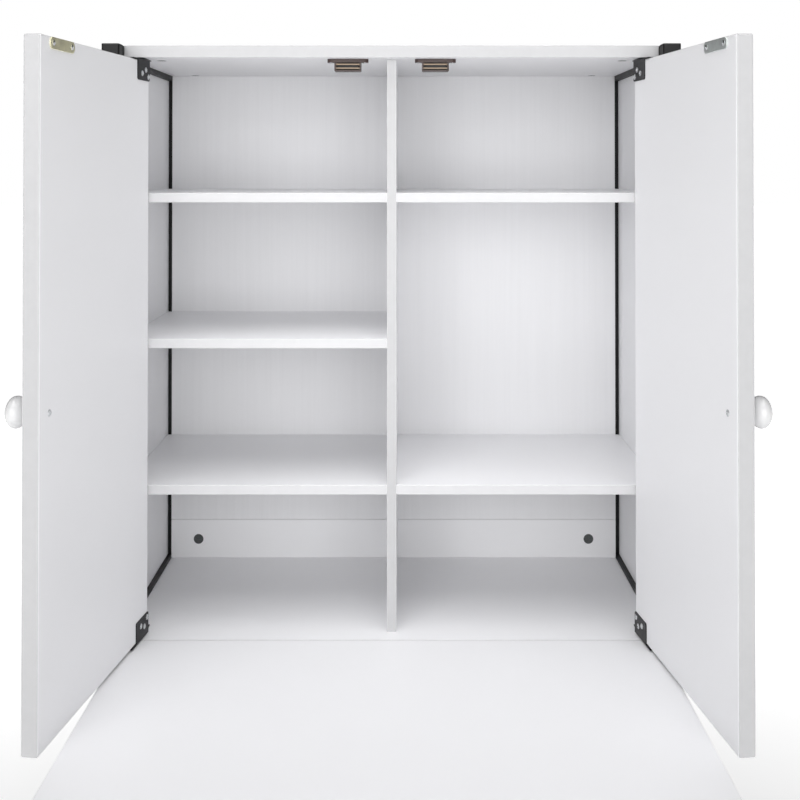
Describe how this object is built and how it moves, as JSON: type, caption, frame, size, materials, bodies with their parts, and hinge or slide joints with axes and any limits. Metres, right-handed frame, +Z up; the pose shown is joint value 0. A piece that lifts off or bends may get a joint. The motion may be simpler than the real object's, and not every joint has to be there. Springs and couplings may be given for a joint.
{
  "type": "sewing table",
  "caption": "Sewing table with a two-door shelved cabinet between black square-tube side frames and a drop leaf on slotted stays in front.",
  "frame": {"origin": "centre of the footprint, on the floor", "axes": "+Z up, -Y towards the person using the table, +X to that person's right"},
  "size_m": [0.776, 0.9014, 1.484],
  "materials": {
    "black_powder_coat": "fine satin powder coat",
    "black_plastic": "matte moulded",
    "white_board": "smooth white melamine on board",
    "door_board": "satin white paint on board, faint brush marks",
    "leaf_board": "smooth white melamine on board, softened edges",
    "back_hardboard": "white-faced hardboard with a faint vertical grain",
    "white_knob": "glossy white",
    "black_hinge_steel": "black lacquered pressed steel",
    "brown_plastic": "dark brown moulded plastic",
    "magnet": "dark sintered ceramic",
    "pole_steel": "dull steel, faint yellow passivation",
    "yellow_zinc": "yellow zinc plate with rainbow tint",
    "clear_zinc": "clear zinc plate, slightly mottled",
    "screw_steel": "bright zinc plate",
    "plated_steel": "zinc plated pressed steel",
    "beech": "plain beech"
  },
  "bodies": {
    "cabinet": {"back_panel": "back_hardboard", "back_rail": "white_board", "back_rail_bolts": "screw_steel", "base_rail_caps": "black_plastic", "bottom_panel": "white_board", "cam_bolts": "screw_steel", "cam_locks": "screw_steel", "catch_housings": "brown_plastic", "catch_magnets": "magnet", "catch_pole_plates": "pole_steel", "catch_screws": "screw_steel", "center_divider": "white_board", "door_hinge_arm_screws": "screw_steel", "door_hinge_arms": "black_hinge_steel", "door_hinge_pins": "screw_steel", "dowels": "beech", "foot_glides": "black_plastic", "front_crossbar": "black_powder_coat", "leaf_hinge_fixed_flaps": "plated_steel", "leaf_hinge_fixed_screws": "screw_steel", "leaf_hinge_pins": "screw_steel", "left_lower_shelf": "white_board", "left_middle_shelf": "white_board", "left_side_frame": "black_powder_coat", "left_side_panel": "white_board", "left_upper_shelf": "white_board", "lower_crossbar": "black_powder_coat", "post_caps": "black_plastic", "rear_crossbar": "black_powder_coat", "rear_tie_bar": "black_powder_coat", "right_lower_shelf": "white_board", "right_side_frame": "black_powder_coat", "right_side_panel": "white_board", "right_upper_shelf": "white_board", "stay_guide_pins": "screw_steel", "top_panel": "white_board"},
    "leaf_body": {"leaf_hinge_moving_flaps": "plated_steel", "leaf_hinge_moving_screws": "screw_steel", "stay_bracket_screws": "screw_steel", "stay_brackets": "plated_steel", "stay_leaf_pins": "screw_steel", "table_leaf": "leaf_board"},
    "left_door_body": {"left_door": "door_board", "left_hinge_plates": "black_hinge_steel", "left_hinge_screws": "screw_steel", "left_knob": "white_knob", "left_knob_screw": "screw_steel", "left_strike_plate": "yellow_zinc", "left_strike_screws": "screw_steel"},
    "left_stay_body": {"left_stay_arm": "plated_steel"},
    "right_door_body": {"right_door": "door_board", "right_hinge_plates": "black_hinge_steel", "right_hinge_screws": "screw_steel", "right_knob": "white_knob", "right_knob_screw": "screw_steel", "right_strike_plate": "clear_zinc", "right_strike_screws": "screw_steel"},
    "right_stay_body": {"right_stay_arm": "plated_steel"}
  },
  "joints": [
    {"name": "left_door_swing", "type": "hinge", "parent": "cabinet", "child": "left_door_body", "pos_m": [-0.318, 0.11975, 1.107], "axis": [0, 0, 1], "range_deg": [0, 96.7]},
    {"name": "right_door_swing", "type": "hinge", "parent": "cabinet", "child": "right_door_body", "pos_m": [0.318, 0.11975, 1.107], "axis": [0, 0, -1], "range_deg": [0, 96.7]},
    {"name": "leaf_fold", "type": "hinge", "parent": "cabinet", "child": "leaf_body", "pos_m": [0, 0.11, 0.724], "axis": [1, 0, 0], "range_deg": [0, 90]},
    {"name": "left_stay_swing", "type": "hinge", "parent": "leaf_body", "child": "left_stay_body", "pos_m": [-0.329, -0.07894, 0.704], "axis": [1, 0, 0], "range_deg": [-45, 0]},
    {"name": "right_stay_swing", "type": "hinge", "parent": "leaf_body", "child": "right_stay_body", "pos_m": [0.329, -0.07894, 0.704], "axis": [1, 0, 0], "range_deg": [-45, 0]}
  ],
  "couplings": [
    {"joint": "left_stay_swing", "follows": "leaf_fold", "ratio": -0.5},
    {"joint": "right_stay_swing", "follows": "leaf_fold", "ratio": -0.5}
  ]
}
